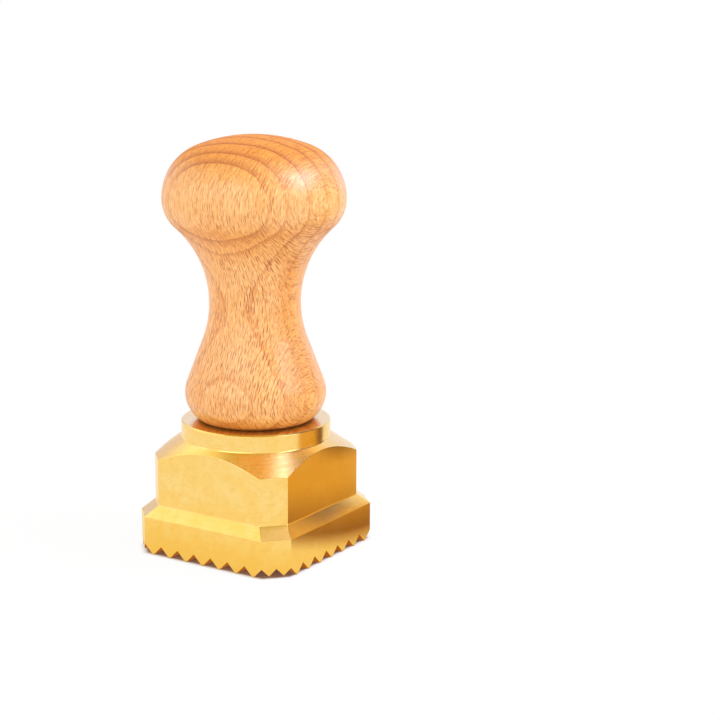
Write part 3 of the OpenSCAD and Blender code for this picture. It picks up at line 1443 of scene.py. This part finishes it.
@dataclass
class Studio:
    """White sweep, soft boxes and the camera.

    The floor's spans are in millimetres outward from the stamp's footprint, apart from the span of the
    painted shade beside the card, which is from the card's axis.
    """

    target: Vector = field(default_factory=lambda: Vector((0, 0, 0.045)))
    floor_size: float = 8.0
    floor_colour: Colour = (0.86, 0.86, 0.86)
    footprint: float = 22.5
    footprint_corner: float = 28.3
    glow_ease: Ease = (-0.9, 1.0, 0.04, 0.95)
    far_glow_ease: Ease = (40.0, 220.0, 0.0, 0.05)
    # Painted warm bounce light from the brass, seen only in gloss on the floor near the stamp.
    bounce_colour: Colour = (1.0, 0.92, 0.64)
    bounce_span: Pair = (55.0, 5.0)
    # Painted shade under the stamp, seen only in gloss.
    under_shade_colour: Colour = (0.42, 0.16, 0.025)
    under_shade_span: Pair = (1.5, -1.0)
    # Painted shade on the floor round the card, seen only in gloss.
    beside_shade_colour: Colour = (0.40, 0.17, 0.03)
    beside_shade_span: Pair = (33.0, 19.0)
    shade_colour: Colour = (0.42, 0.26, 0.13)
    shade_span: Pair = (-0.2, -1.2)
    ceiling: Colour = (0.58, 0.50, 0.14)
    ceiling_span: Pair = (0.55, 0.96)
    patches: tuple[Patch, ...] = (
        Patch(195, 12, 20, 38, (0.88, 0.98, 1.48)),
        Patch(172, 48, 8, 20, (1.35, 0.82, 0.24)),
        Patch(-124, 13, 6, 18, (0.78, 0.76, 1.05)),
        Patch(-52, 14, 5, 14, (1.8, 1.8, 2.0)),
        Patch(156, 71.5, 4, 9.8, (3.6, 3.4, 6.2)),
    )
    camera_azimuth: float = 32.159
    camera_elevation: float = 12.398
    camera_roll: float = 0.352
    camera_place: Triple = (0.233996, -0.324097, 0.13436)
    camera_reach: Pair = (0.01, 20.0)
    lens: float = 83.35
    sensor: float = 36.0
    lamps: tuple[Lamp, ...] = (
        Lamp("front", 0, 24, 1.3, 1.2, 0.9, 1.10),
        Lamp("side_right", 114, 42, 1.0, 0.66, 0.60, 5.2, (0.84, 0.97, 1.32)),
        Lamp("side_left", -84, 48, 1.1, 1.2, 0.65, 0.45),
    )
    card: Card = field(default_factory=Card)

    def build(self) -> None:
        """Sets up everything round the stamp."""
        self.build_floor()
        self.build_world()
        self.card.build()
        for lamp in self.lamps:
            lamp.build(self.target)
        self.build_camera()
        bpy.context.scene.view_settings.view_transform = "Standard"

    @staticmethod
    def seen_directly(graph: Graph) -> Term:
        """1 for a ray from the camera or by way of gloss or glass, else 0."""
        rays = graph.on(Ray.CAMERA) + graph.on(Ray.GLOSS) + graph.on(Ray.GLASS)
        return graph.maths("MINIMUM", rays, 1.0)

    def off_footprint(self, graph: Graph, x: Term, y: Term) -> Term:
        """How far a point of the floor lies outward from the stamp's footprint."""
        wide, deep = graph.maths("ABSOLUTE", x), graph.maths("ABSOLUTE", y)
        off_side = graph.maths("MAXIMUM", wide, deep) - self.footprint
        off_corner = (wide + deep) / math.sqrt(2) - self.footprint_corner
        return graph.maths("MAXIMUM", off_side, off_corner)

    def build_floor(self) -> None:
        """Lays the white floor, which keeps the stamp's soft shadow near it, with painted shade under
        the stamp, and in gloss painted shade beside the card and a painted warm bounce near the stamp.
        """
        half = self.floor_size / 2
        corners = [(-half, -half, 0), (half, -half, 0), (half, half, 0), (-half, half, 0)]
        floor = new_piece("floor", corners, faces=[(0, 1, 2, 3)])
        material = bpy.data.materials.new("white_floor")
        graph = Graph.of(material)
        x, y, _ = graph.split(graph.place())
        off = self.off_footprint(graph, x, y)
        in_gloss = graph.on(Ray.GLOSS)
        # Painted shade under the stamp's footprint, for gloss rays.
        under = in_gloss * off.between(*self.under_shade_span)
        share = off.between(*self.glow_ease) + off.between(*self.far_glow_ease)
        share = graph.maths("MAXIMUM", share, under)
        card_x, card_y = (part / MM for part in self.card.place)
        from_card = ((x - card_x) ** 2 + (y - card_y) ** 2) ** 0.5
        white = grey(1.0)
        for part, colour in (
            # Painted warm bounce near the stamp, in gloss.
            (in_gloss * off.between(*self.bounce_span), self.bounce_colour),
            # Painted shade beside the card, in gloss.
            (in_gloss * from_card.between(*self.beside_shade_span), self.beside_shade_colour),
            (under, self.under_shade_colour),
        ):
            white = graph.tint(part, white, colour)
        ground = graph.tint(off.between(*self.shade_span), self.floor_colour, self.shade_colour)
        matt = graph.out("ShaderNodeBsdfDiffuse", {"Color": ground})
        shaders = {0: self.seen_directly(graph) * share, 1: matt, 2: graph.glow(white)}
        graph.show(graph.out("ShaderNodeMixShader", shaders))
        floor.data.materials.append(material)

    def build_world(self) -> None:
        """Makes the world white where it is seen, and as a light dimmer overhead."""
        world = bpy.data.worlds.new("studio")
        bpy.context.scene.world = world
        graph = Graph.of(world)
        way = graph.out("ShaderNodeTexCoord", output="Generated")
        rise = graph.split(way)[2].between(*self.ceiling_span)
        sky = graph.tint(rise, grey(1.0), self.ceiling)
        for patch in self.patches:
            near = graph.towards(way, patch.azimuth, patch.elevation)
            edges = math.cos(math.radians(patch.rim)), math.cos(math.radians(patch.core))
            sky = graph.tint(near.between(*edges), sky, patch.colour)
        shown = graph.tint(graph.on(Ray.CAMERA), sky, grey(1.0))
        back = graph.out("ShaderNodeBackground", {"Color": shown})
        graph.add("ShaderNodeOutputWorld", {"Surface": back})

    def build_camera(self) -> None:
        """Sets the camera where the photograph was taken from."""
        data = bpy.data.cameras.new("camera")
        data.lens, data.sensor_width = self.lens, self.sensor
        data.clip_start, data.clip_end = self.camera_reach
        camera = linked("camera", data)
        back = direction(self.camera_azimuth, self.camera_elevation)
        level = Vector((0, 0, 1)).cross(back).normalized()
        upright = back.cross(level)
        roll = math.radians(self.camera_roll)
        right = math.cos(roll) * level + math.sin(roll) * upright
        up = math.cos(roll) * upright - math.sin(roll) * level
        pose = Matrix((right, up, back)).transposed().to_4x4()
        pose.translation = self.camera_place
        camera.matrix_world = pose
        bpy.context.scene.camera = camera


def main() -> None:
    """Builds the stamp piece by piece in its studio."""
    logging.basicConfig(level=logging.INFO, format="%(name)s: %(message)s")
    Studio().build()
    low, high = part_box("die")
    foot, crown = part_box("handle")
    stud_end, stud_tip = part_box("stud")
    lathe = Lathe()
    for piece in (
        Die(width=high.x - low.x, top=high.z).build(),
        Handle(foot=foot.z, top=crown.z, knob_radius=crown.x).build(lathe),
        Stud(low=stud_end.z, joint=high.z, high=stud_tip.z).build(lathe),
    ):
        LOG.info("%s: %d faces", piece.name, len(piece.data.polygons))


if __name__ == "__main__":
    main()
